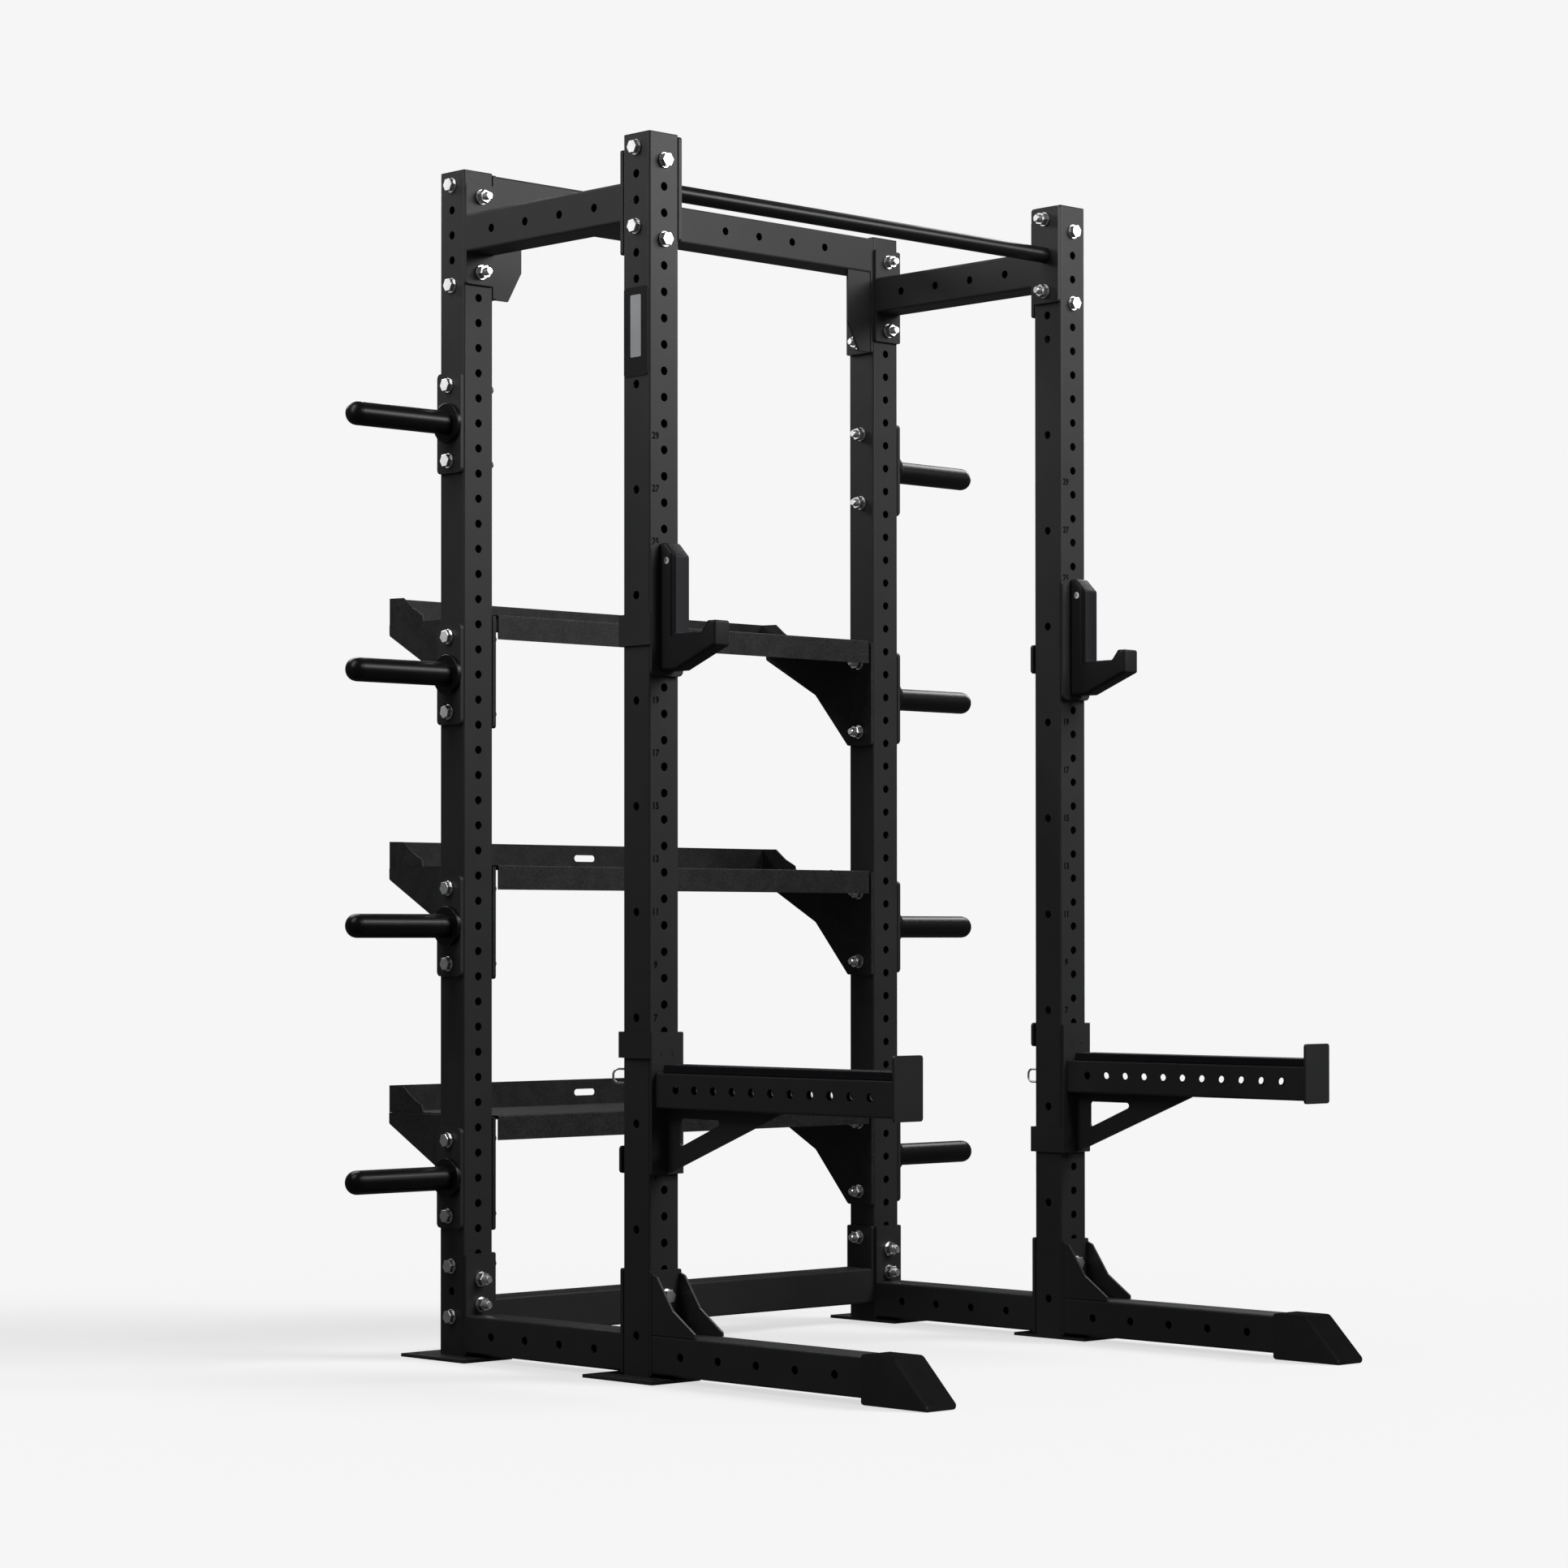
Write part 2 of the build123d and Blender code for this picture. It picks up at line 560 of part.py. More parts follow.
# ---- spotter arms -------------------------------------------------------------------------
def spotter_arm():
    """Welded arm: plate with two straps, box tube, web below it and end plate."""
    straps = strap(*SPOT_STRAP_TOP, -1) + strap(*SPOT_STRAP_BASE, 1)
    plate = attachment_plate(SPOT_LOW, SPOT_HIGH, 3, straps)
    plate = plate - rod_y(XC, Y_FRONT - 20, Y_FRONT, row_z(SPOT_PIN_ROW), PEG_R + RUNNING)
    mid = (ARM_LOW + ARM_HIGH) / 2
    tube = tube_y(XC, mid, Y_FRONT - FACE, Y_FRONT - ARM_END, ARM_WIDTH, ARM_HIGH - ARM_LOW)
    for index in range(ARM_HOLES):
        y = Y_FRONT - ARM_HOLE_FIRST - index * ARM_HOLE_PITCH
        tube = tube - rod_x(XC - ARM_WIDTH, XC + ARM_WIDTH, y, ARM_HOLE_Z, HOLE_R)
    end = Y_FRONT - ARM_END
    x0 = XC - END_PLATE_HALF
    x1 = XC + END_PLATE_HALF
    tip = plate_y(x0, x1, end - PLATE, end, END_PLATE_LOW, END_PLATE_HIGH, 6)
    window = side_profile(ahead(WINDOW_LINE), XC - WEB, XC + WEB)
    window = fillet(window.edges().filter_by(Axis.X), 6)
    web = side_profile(ahead(WEB_LINE), XC - WEB / 2, XC + WEB / 2) - window
    return [plate, tube, tip, web] + straps


def spotter_strip():
    """Wear strip along the top of the arm, stepped in above its base."""
    y0 = Y_FRONT - STRIP_END
    y1 = Y_FRONT - STRIP_START
    half = ARM_WIDTH / 2
    step = ARM_HIGH + STRIP_STEP
    base = slab(XC - half, XC + half, y0, y1, ARM_HIGH, step)
    upper = slab(XC - half + 2.75, XC + half - 2.75, y0, y1, step, STRIP_HIGH)
    upper = fillet(upper.faces().sort_by(Axis.Z)[-1].edges(), 2)
    return [base + upper]


def spotter_screws():
    """Small screws that hold the liner to the plate."""
    found = []
    face = Y_FRONT - FACE
    for z in (626, 433):
        for x in (XC - 14, XC + 14):
            found.append(rod_y(x, face - 1, face, z, 2.6))
    return found


# ---- lock pins ----------------------------------------------------------------------------
REAR_FACE = Y_FRONT + TUBE
HUB_START = REAR_FACE + 0.5 + PIN_HEAD + 0.3
HUB_LENGTH = STUB + HUB_END


def lock_pin():
    """Pin pushed in from behind, through the upright and into the arm."""
    z = row_z(SPOT_PIN_ROW)
    seat = REAR_FACE + 0.5
    shank = rod_y(XC, Y_FRONT - PIN_TIP, seat, z, PEG_R)
    shank = chamfer(shank.edges().sort_by(Axis.Y)[0:1], 2)
    head = fillet(rod_y(XC, seat, seat + PIN_HEAD, z, PIN_HEAD_R).edges(), 1.5)
    return [shank + head + rod_y(XC, seat + PIN_HEAD - 1, seat + PIN_HEAD + STUB, z, STUB_R)]


def pin_handle(x, turn, up):
    """Wire pull loop on a hub that turns on the pin's stub. turn swings the loop sideways."""
    z = row_z(SPOT_PIN_ROW)
    centre = HUB_START + HUB_LENGTH - HUB_END / 2
    hub = rod_y(x, HUB_START, HUB_START + HUB_LENGTH, z, HUB_R)
    hub = fillet(hub.edges(), 1)
    reach = LOOP_REACH
    rise = up * LOOP_HEIGHT
    route = [(2, 0), (reach, 0), (reach, rise), (8, rise), (0, up * 6)]
    normal = (math.cos(turn), math.sin(turn), 0)
    across = (-math.sin(turn), math.cos(turn), 0)
    lane = Plane(origin=(x, centre, z), x_dir=across, z_dir=normal)
    path = lane * FilletPolyline(*route, radius=LOOP_BEND)
    section = Plane(origin=lane.from_local_coords((2, 0, 0)), z_dir=across) * Circle(WIRE_R)
    wire = sweep(section, path=path)
    bore = rod_y(x, HUB_START - 1, HUB_START + STUB + 0.2, z, STUB_R + RUNNING)
    return [hub + wire - bore]


def label_plate():
    """Plain thin plate on the outer face of the front left upright."""
    return [plate_x(X_OUT - 1.5, X_OUT, YF - 34, YF + 34, 1928, 2100, 6)]


def build():
    os.makedirs("parts", exist_ok=True)
    rail_top = side_rail(row_z(RAIL_TOP_ROW), row_z(RAIL_TOP_ROW - 2), (44, 41))
    rail_base = side_rail(RAIL_BASE_Z, row_z(2) - FLANGE_HEIGHT, (0, 1))
    pairs = {
        "upright_front": upright(YF, FRONT_SIDE_ROWS),
        "upright_rear": upright(YR, REAR_SIDE_ROWS),
        "side_rail_top": rail_top,
        "side_rail_base": rail_base,
        "leg": leg(),
        "foot": foot(),
        "cradle_bracket": cradle_bracket(),
        "cradle_pad": attachment_pad(CRADLE_LOW, CRADLE_HIGH, CRADLE_PEG_ROW),
        "cradle_body": cradle_body(),
        "cradle_liner": cradle_liner(),
        "cradle_screws": cradle_screws(),
        "spotter_arm": spotter_arm(),
        "spotter_pad": attachment_pad(SPOT_LOW, SPOT_HIGH, SPOT_PIN_ROW),
        "spotter_strip": spotter_strip(),
        "spotter_screws": spotter_screws(),
        "lock_pin": lock_pin(),
    }
    for index, row in enumerate(HORN_ROWS, start=1):
        pairs[f"horn_{index}"] = horn(row)
    for name, shapes in pairs.items():
        save(f"{name}_left", shapes)
        save(f"{name}_right", flip(shapes))
    bolts, washers, nuts = fasteners()
    save("hex_bolts", bolts)
    save("washers", washers)
    save("hex_nuts", nuts)
    save("floor_plates", floor_plates())
    save("upright_caps", upright_caps())
    save("crossmember_top", crossmember_top())
    save("crossmember_base", crossmember_base())
    save("pullup_bar", pullup_bar())
    save("horn_caps", horn_caps())
    for name, row in SHELVES.items():
        save(f"shelf_{name}", shelf(row))
        save(f"shelf_brackets_{name}", shelf_brackets(row))
    save("shelf_screws", shelf_screws())
    save("label_plate", label_plate())
    save("pin_handle_left", pin_handle(XC, math.radians(45), 1))
    save("pin_handle_right", pin_handle(-XC, 0, -1))


if __name__ == "__main__":
    build()
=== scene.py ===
import json
import math
import random

import bmesh
import bpy
from mathutils import Matrix, Vector

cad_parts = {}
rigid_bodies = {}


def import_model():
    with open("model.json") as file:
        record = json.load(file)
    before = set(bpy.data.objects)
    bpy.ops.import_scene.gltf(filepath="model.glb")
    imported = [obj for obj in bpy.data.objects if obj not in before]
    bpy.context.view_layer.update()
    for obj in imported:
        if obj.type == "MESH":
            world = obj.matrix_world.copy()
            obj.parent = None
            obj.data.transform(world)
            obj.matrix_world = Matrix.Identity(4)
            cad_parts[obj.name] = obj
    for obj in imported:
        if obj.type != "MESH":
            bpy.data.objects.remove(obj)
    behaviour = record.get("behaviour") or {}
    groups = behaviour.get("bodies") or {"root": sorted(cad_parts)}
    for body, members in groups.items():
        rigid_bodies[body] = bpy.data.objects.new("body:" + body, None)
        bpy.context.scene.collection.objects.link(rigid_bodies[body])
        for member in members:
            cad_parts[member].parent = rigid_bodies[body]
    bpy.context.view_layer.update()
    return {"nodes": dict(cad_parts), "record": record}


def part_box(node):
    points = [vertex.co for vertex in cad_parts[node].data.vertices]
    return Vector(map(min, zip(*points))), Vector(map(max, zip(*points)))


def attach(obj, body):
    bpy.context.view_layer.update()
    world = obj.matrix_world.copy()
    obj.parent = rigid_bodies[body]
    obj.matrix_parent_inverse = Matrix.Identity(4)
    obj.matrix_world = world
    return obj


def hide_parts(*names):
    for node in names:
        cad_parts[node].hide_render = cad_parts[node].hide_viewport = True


# Looks for the power cage: powder coat, zinc hardware, moulded plastic, and the details that the
# structural model leaves plain. Everything is in metres, in the part's own frame, apart from the
# side profiles of the mouldings, which are in millimetres.

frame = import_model()
NODES = frame["nodes"]
random.seed(7)

# ---- sizes shared with the structural model --------------------------------------------------
UPRIGHT_X = 0.5842  # centre lines of the uprights, left and right of the middle
UPRIGHT_HALF = 0.0381
FRONT_Y = -0.2794  # centre line of the front uprights
FACE_Y = FRONT_Y - UPRIGHT_HALF
HOLE_PITCH = 0.0508
FIRST_HOLE_Z = 0.1094
FLANGE = 0.008
SIDES = ((-1, "left"), (1, "right"))


# ---- shader building blocks ------------------------------------------------------------------
# Socket numbers of a Mix node that mixes colours.
MIX_FACTOR = 0
MIX_FIRST = 6
MIX_SECOND = 7
MIX_RESULT = 2


def node(tree, kind, **settings):
    """A new shader node, with its sockets and its other settings given by name."""
    made = tree.nodes.new(kind)
    for key, value in settings.items():
        if key in made.inputs:
            made.inputs[key].default_value = value
        else:
            setattr(made, key, value)
    return made


def ramp(tree, source, stops):
    """Colours from a list of (position, colour) stops."""
    made = tree.nodes.new("ShaderNodeValToRGB")
    tree.links.new(source, made.inputs["Fac"])
    elements = made.color_ramp.elements
    for element, (position, colour) in zip(elements, stops):
        element.position = position
        element.color = (*colour, 1)
    return made.outputs["Color"]


def mottle(tree, source, dark, light):
    return ramp(tree, source, [(0.3, dark), (0.7, light)])


def noise(tree, coords, scale, detail, rough):
    made = node(tree, "ShaderNodeTexNoise", Scale=scale, Detail=detail, Roughness=rough)
    tree.links.new(coords, made.inputs["Vector"])
    return made.outputs["Fac"]


def spread(tree, source, low, high):
    """Stretches a value between 0 and 1 over the range from low to high."""
    made = node(tree, "ShaderNodeMapRange", **{"To Min": low, "To Max": high})
    tree.links.new(source, made.inputs["Value"])
    return made.outputs["Result"]


def start(name, **sockets):
    """A new material with object-space coordinates and a Principled shader."""
    made = bpy.data.materials.new(name)
    made.use_nodes = True
    tree = made.node_tree
    shader = tree.nodes["Principled BSDF"]
    for key, value in sockets.items():
        shader.inputs[key].default_value = value
    coords = tree.nodes.new("ShaderNodeTexCoord").outputs["Object"]
    return made, tree, shader, coords


def grain(tree, shader, heights, distance):
    """Bump from a stack of (height, strength) pairs."""
    previous = None
    for height, strength in heights:
        bump = node(tree, "ShaderNodeBump", Strength=strength, Distance=distance)
        tree.links.new(height, bump.inputs["Height"])
        if previous is not None:
            tree.links.new(previous.outputs["Normal"], bump.inputs["Normal"])
        previous = bump
    tree.links.new(previous.outputs["Normal"], shader.inputs["Normal"])


# ---- materials -------------------------------------------------------------------------------
COAT_DARK = (0.0300, 0.0302, 0.0312)
COAT_LIGHT = (0.0355, 0.0358, 0.0368)
STOCK_DARK = (0.0048, 0.0048, 0.0052)
STOCK_LIGHT = (0.0064, 0.0064, 0.0068)
COAT_ROUGH = (0.40, 0.54)
STOCK_SMOOTHER = -0.15  # how much less rough the round stock is than the plates
SPLIT_GAP = 0.0003  # how far past a plate the round stock's coat begins


def coat_heights(tree, coords):
    """Broad mottling, pinhead grain and orange peel of a powder coat."""
    broad = noise(tree, coords, scale=9.0, detail=3.0, rough=0.6)
    fine = noise(tree, coords, scale=900.0, detail=2.0, rough=0.6)
    peel = noise(tree, coords, scale=420.0, detail=3.0, rough=0.55)
    return broad, fine, peel


def coat_grain(tree, shader, fine, peel):
    grain(tree, shader, [(peel, 0.16), (fine, 0.10)], distance=0.0004)


def powder_coat(name, dark, light, rough, specular):
    """Fine-textured powder coat: pinhead orange peel, faint mottling and slight gloss changes."""
    made, tree, shader, coords = start(name, **{"Specular IOR Level": specular})
    broad, fine, peel = coat_heights(tree, coords)
    tree.links.new(mottle(tree, broad, dark, light), shader.inputs["Base Color"])
    tree.links.new(spread(tree, peel, *rough), shader.inputs["Roughness"])
    coat_grain(tree, shader, fine, peel)
    return made


def two_coat(name, edge, stock_side):
    """Powder coat on the plates and a smoother one on the round stock, split at |x| = edge.

    The stock is where |x| is LESS_THAN or GREATER_THAN the edge, as stock_side says.
    """
    made, tree, shader, coords = start(name, **{"Specular IOR Level": 0.22})
    axes = node(tree, "ShaderNodeSeparateXYZ")
    tree.links.new(coords, axes.inputs[0])
    away = node(tree, "ShaderNodeMath", operation="ABSOLUTE")
    tree.links.new(axes.outputs["X"], away.inputs[0])
    is_stock = node(tree, "ShaderNodeMath", operation=stock_side)
    tree.links.new(away.outputs[0], is_stock.inputs[0])
    is_stock.inputs[1].default_value = edge
    broad, fine, peel = coat_heights(tree, coords)
    colour = node(tree, "ShaderNodeMix", data_type="RGBA")
    tree.links.new(is_stock.outputs[0], colour.inputs[MIX_FACTOR])
    tree.links.new(mottle(tree, broad, COAT_DARK, COAT_LIGHT), colour.inputs[MIX_FIRST])
    tree.links.new(mottle(tree, broad, STOCK_DARK, STOCK_LIGHT), colour.inputs[MIX_SECOND])
    tree.links.new(colour.outputs[MIX_RESULT], shader.inputs["Base Color"])
    rough = node(tree, "ShaderNodeMath", operation="MULTIPLY_ADD")
    tree.links.new(is_stock.outputs[0], rough.inputs[0])
    rough.inputs[1].default_value = STOCK_SMOOTHER
    tree.links.new(spread(tree, peel, *COAT_ROUGH), rough.inputs[2])
    tree.links.new(rough.outputs[0], shader.inputs["Roughness"])
    coat_grain(tree, shader, fine, peel)
    return made


def textured_coat(name, dark, light, specular):
    """Coarse textured coat of the shelves: small light flecks over a dark ground."""
    made, tree, shader, coords = start(name, **{"Specular IOR Level": specular})
    fleck = noise(tree, coords, scale=520.0, detail=2.0, rough=0.6)
    broad = noise(tree, coords, scale=30.0, detail=3.0, rough=0.6)
    both = node(tree, "ShaderNodeMath", operation="MULTIPLY_ADD")
    tree.links.new(broad, both.inputs[0])
    both.inputs[1].default_value = 0.35
    tree.links.new(fleck, both.inputs[2])
    colour = ramp(tree, both.outputs[0], [(0.58, dark), (0.82, light)])
    tree.links.new(colour, shader.inputs["Base Color"])
    tree.links.new(spread(tree, fleck, 0.42, 0.60), shader.inputs["Roughness"])
    grain(tree, shader, [(fleck, 0.35)], distance=0.0004)
    return made


def zinc_plate(name):
    """Bright zinc: faint brushed streaks, blotches and handling marks."""
    made, tree, shader, coords = start(name, Metallic=1.0)
    stretch = node(tree, "ShaderNodeMapping", Scale=(1.0, 1.0, 9.0))
    tree.links.new(coords, stretch.inputs["Vector"])
    streak = noise(tree, stretch.outputs["Vector"], scale=260.0, detail=4.0, rough=0.6)
    blotch = noise(tree, coords, scale=60.0, detail=3.0, rough=0.6)
    colour = ramp(tree, blotch, [(0.25, (0.70, 0.70, 0.69)), (0.75, (0.86, 0.87, 0.87))])
    tree.links.new(colour, shader.inputs["Base Color"])
    tree.links.new(spread(tree, streak, 0.24, 0.36), shader.inputs["Roughness"])
    grain(tree, shader, [(streak, 0.05), (blotch, 0.03)], distance=0.00006)
    return made


def moulded(name, dark, light, rough, cell_scale, strength, specular=0.20):
    """Moulded plastic with a spark-eroded grain."""
    made, tree, shader, coords = start(name, **{"Specular IOR Level": specular})
    cells = node(tree, "ShaderNodeTexVoronoi", Scale=cell_scale)
    tree.links.new(coords, cells.inputs["Vector"])
    broad = noise(tree, coords, scale=14.0, detail=3.0, rough=0.6)
    fine = noise(tree, coords, scale=cell_scale * 1.7, detail=2.0, rough=0.6)
    tree.links.new(mottle(tree, broad, dark, light), shader.inputs["Base Color"])
    tree.links.new(spread(tree, fine, *rough), shader.inputs["Roughness"])
    grain(tree, shader, [(cells.outputs["Distance"], strength), (fine, strength)], distance=0.0003)
    return made


BLACK = powder_coat("black_powder_coat", COAT_DARK, COAT_LIGHT, COAT_ROUGH, specular=0.22)
CAP_COAT = powder_coat("horn_coat", STOCK_DARK, STOCK_LIGHT, (0.26, 0.36), specular=0.20)
HORN_EDGE = UPRIGHT_X + UPRIGHT_HALF + FLANGE + SPLIT_GAP
HORN_COAT = two_coat("horn_plate_and_tube", HORN_EDGE, "GREATER_THAN")
BAR_EDGE = UPRIGHT_X - UPRIGHT_HALF - FLANGE - SPLIT_GAP
BAR_COAT = two_coat("bar_and_plate", BAR_EDGE, "LESS_THAN")
TEXTURED = textured_coat(
    "textured_coat",
    dark=(0.0150, 0.0152, 0.0156),
    light=(0.0420, 0.0425, 0.0435),
    specular=0.20,
)
ZINC = zinc_plate("zinc_plate")
STEEL = zinc_plate("pin_steel")
PLASTIC = moulded(
    "moulded_black",
    dark=(0.0125, 0.0125, 0.0130),
    light=(0.0165, 0.0165, 0.0170),
    rough=(0.42, 0.58),
    cell_scale=1500.0,
    strength=0.10,
)
LINER = moulded(
    "liner_polymer",
    dark=(0.0060, 0.0060, 0.0085),
    light=(0.0082, 0.0082, 0.0112),
    rough=(0.46, 0.60),
    cell_scale=1100.0,
    strength=0.07,
)
MARKING = moulded(
    "marking_ink",
    dark=(0.0015, 0.0015, 0.0015),
    light=(0.0025, 0.0025, 0.0025),
    rough=(0.55, 0.7),
    cell_scale=1400.0,
    strength=0.05,
    specular=0.06,
)
LABEL = moulded(
    "label_film",
    dark=(0.0110, 0.0110, 0.0125),
    light=(0.0150, 0.0150, 0.0165),
    rough=(0.30, 0.42),
    cell_scale=1700.0,
    strength=0.04,
)
PANEL = moulded(
    "label_panel",
    dark=(0.36, 0.365, 0.375),
    light=(0.42, 0.425, 0.435),
    rough=(0.36, 0.48),
    cell_scale=1600.0,
    strength=0.04,
)

SLOT_MATERIAL = {
    "black_coat": BLACK,
    "zinc": ZINC,
    "steel": STEEL,
    "plastic": PLASTIC,
    "liner": LINER,
    "label": LABEL,
}


def material_of(name, slot):
    """Material of a structural node: its slot's own, unless its coat differs."""
    if name == "horn_caps":
        return CAP_COAT
    if name.startswith("horn_"):
        return HORN_COAT
    if name == "pullup_bar":
        return BAR_COAT
    if name.startswith("spotter_screws"):
        return BLACK
    if name.startswith("shelf_") and name != "shelf_screws":
        return TEXTURED
    return SLOT_MATERIAL[slot]


for entry in frame["record"]["subparts"]:
    materials = NODES[entry["node"]].data.materials
    materials.clear()
    materials.append(material_of(entry["node"], entry["material_slot"]))


# ---- mesh helpers ----------------------------------------------------------------------------
def add_mesh(name, bm, body, material, smooth_angle):
    """Turns a bmesh into a piece that rides on a body."""
    mesh = bpy.data.meshes.new(name)
    bmesh.ops.recalc_face_normals(bm, faces=bm.faces)
    bm.to_mesh(mesh)
    bm.free()
    made = bpy.data.objects.new(name, mesh)
    bpy.context.scene.collection.objects.link(made)
    mesh.materials.append(material)
    mesh.shade_smooth()
    mesh.set_sharp_from_angle(angle=math.radians(smooth_angle))
    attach(made, body)
    return made


def ring(bm, count, z, radius_at):
    """Adds vertices round the Z axis at height z, as far out as radius_at says for each angle."""
    found = []
    for i in range(count):
        angle = 2 * math.pi * i / count
        radius = radius_at(angle)
        found.append(bm.verts.new((radius * math.cos(angle), radius * math.sin(angle), z)))
    return found


def circle(bm, count, z, radius):
    return ring(bm, count, z, lambda angle: radius)


def join_ring(bm, lower, upper):
    """Faces between two rings of as many vertices."""
    count = len(lower)
    for i in range(count):
        j = (i + 1) % count
        bm.faces.new((lower[i], lower[j], upper[j], upper[i]))


def fan(bm, rim, z):
    """Closes a ring with a flat fan of triangles."""
    centre = bm.verts.new((0.0, 0.0, z))
    for i in range(len(rim)):
        bm.faces.new((rim[i], rim[(i + 1) % len(rim)], centre))


# ---- bolts, nuts and washers -----------------------------------------------------------------
BOLT_R = 0.00794
HEX_AF = 0.0240  # across flats, for heads and nuts
HEAD_HEIGHT = 0.0100
HEAD_CHAMFER = 0.0009
HEAD_FACE = 0.0005  # height of the round washer face under a head
NUT_CHAMFER = 0.0014
NUT_FACE = 0.0004
NUT_MOUTH_R = 0.0090
NUT_MOUTH_DEPTH = 0.0011
NUT_GAP = 0.0001  # between a nut's bore and the bolt
FACE_SHARE = 0.97  # radius of the washer face, as a share of half the width across flats
CROWN_SHARE = 0.93  # how far the chamfer draws the hexagon in
HEX_STEPS = 48
SHANK_STEPS = 24
THREAD_DEPTH = 0.0009
THREAD_PITCH = 0.002
THREAD_RUN = 0.018
THREAD_STEPS = 20
POINT_HEIGHT = 0.0012
POINT_SHARE = 0.86
WASHER_BORE_R = 0.0085
WASHER_EDGE = 0.0005
WASHER_STEPS = 40
HARDWARE_SMOOTH = 28.0
MERGE = 1e-6
HEAD_REACH = BOLT_R * 1.3  # anything farther from a bolt's axis belongs to its head
SIXTH_TURN = math.pi / 3
TWELFTH_TURN = math.pi / 6
HEAD_SPIN = 0.25  # share of a sixth of a turn by which the heads differ
SAME_LINE = 0.002  # a nut this near to a bolt's axis is on that bolt,
SAME_BOLT = 0.08  # if it is also this near to the bolt's middle


def islands(name):
    """The points of each separate lump of a node."""
    bm = bmesh.new()
    bm.from_mesh(NODES[name].data)
    bmesh.ops.remove_doubles(bm, verts=bm.verts, dist=MERGE)
    seen = set()
    found = []
    for first in bm.verts:
        if first in seen:
            continue
        seen.add(first)
        stack = [first]
        lump = []
        while stack:
            vert = stack.pop()
            lump.append(vert.co.copy())
            for edge in vert.link_edges:
                other = edge.other_vert(vert)
                if other not in seen:
                    seen.add(other)
                    stack.append(other)
        found.append(lump)
    bm.free()
    return found


def lump_box(lump):
    """Low corner, high corner and sizes of a lump."""
    low = Vector([min(point[i] for point in lump) for i in range(3)])
    high = Vector([max(point[i] for point in lump) for i in range(3)])
    return low, high, [high[i] - low[i] for i in range(3)]


def head_level(lump, centre, axis):
    """Mean place along the axis of the points that belong to a bolt's head."""
    wide = []
    for point in lump:
        across = point - centre
        across[axis] = 0.0
        if across.length > HEAD_REACH:
            wide.append(point[axis])
    return sum(wide) / len(wide)


def along(axis, length):
    """A list of three numbers that points along an axis."""
    found = [0.0, 0.0, 0.0]
    found[axis] = length
    return found


def hex_radius(angle):
    """Distance from a hexagon's middle to its side."""
    return HEX_AF / 2 / math.cos(angle % SIXTH_TURN - TWELFTH_TURN)


def hex_body(bm, z0, z1, chamfer, washer_face):
    """Hexagon from z0 to z1, with a round washer face at z0 and a chamfered rim at z1."""
    face_r = HEX_AF / 2 * FACE_SHARE
    rings = [circle(bm, HEX_STEPS, z0, face_r)]
    rings.append(circle(bm, HEX_STEPS, z0 + washer_face, face_r))
    rings.append(ring(bm, HEX_STEPS, z0 + washer_face, hex_radius))
    rings.append(ring(bm, HEX_STEPS, z1 - chamfer, hex_radius))
    rings.append(ring(bm, HEX_STEPS, z1, lambda angle: hex_radius(angle) * CROWN_SHARE))
    for low, high in zip(rings, rings[1:]):
        join_ring(bm, low, high)
    return rings[0], rings[-1]


def bolt_mesh(bm, length):
    """Head and plain shank of a bolt along -Z, with the outer face of the head at 0."""
    low, high = hex_body(bm, -HEAD_HEIGHT, 0.0, HEAD_CHAMFER, HEAD_FACE)
    fan(bm, high, 0.0)
    under_head = circle(bm, SHANK_STEPS, -HEAD_HEIGHT, BOLT_R)
    at_thread = circle(bm, SHANK_STEPS, -length + THREAD_RUN, BOLT_R)
    join_ring(bm, under_head, at_thread)
    fan(bm, low, -HEAD_HEIGHT)


def thread_mesh(bm):
    """Rolled thread along Z, from 0 to a chamfered point at THREAD_RUN."""
    root = BOLT_R - THREAD_DEPTH
    turns = int((THREAD_RUN - POINT_HEIGHT) / THREAD_PITCH)
    total = turns * THREAD_STEPS
    roots = []
    crests = []
    for i in range(total + 1):
        angle = 2 * math.pi * i / THREAD_STEPS
        x = math.cos(angle)
        y = math.sin(angle)
        z = THREAD_PITCH * i / THREAD_STEPS
        taper = min(1.0, (total - i) / THREAD_STEPS + 0.25)
        crest = root + THREAD_DEPTH * taper
        roots.append(bm.verts.new((root * x, root * y, z)))
        crests.append(bm.verts.new((crest * x, crest * y, z + THREAD_PITCH / 2)))
    for i in range(total):
        bm.faces.new((roots[i], roots[i + 1], crests[i + 1], crests[i]))
        above = i + THREAD_STEPS
        if above < total:
            bm.faces.new((crests[i], crests[i + 1], roots[above + 1], roots[above]))
    edge = circle(bm, THREAD_STEPS, THREAD_PITCH * (turns - 1), root)
    tip = circle(bm, THREAD_STEPS, THREAD_RUN, root * POINT_SHARE)
    join_ring(bm, edge, tip)
    bm.faces.new(tip)


def nut_mesh(bm, height):
    """Nut along -Z, chamfered on its outer end, with a countersunk bore."""
    low, high = hex_body(bm, -height, 0.0, NUT_CHAMFER, NUT_FACE)
    mouth = circle(bm, HEX_STEPS, 0.0, NUT_MOUTH_R)
    bore_top = circle(bm, HEX_STEPS, -NUT_MOUTH_DEPTH, BOLT_R + NUT_GAP)
    bore_end = circle(bm, HEX_STEPS, -height, BOLT_R + NUT_GAP)
    join_ring(bm, high, mouth)
    join_ring(bm, mouth, bore_top)
    join_ring(bm, bore_top, bore_end)
    join_ring(bm, bore_end, low)


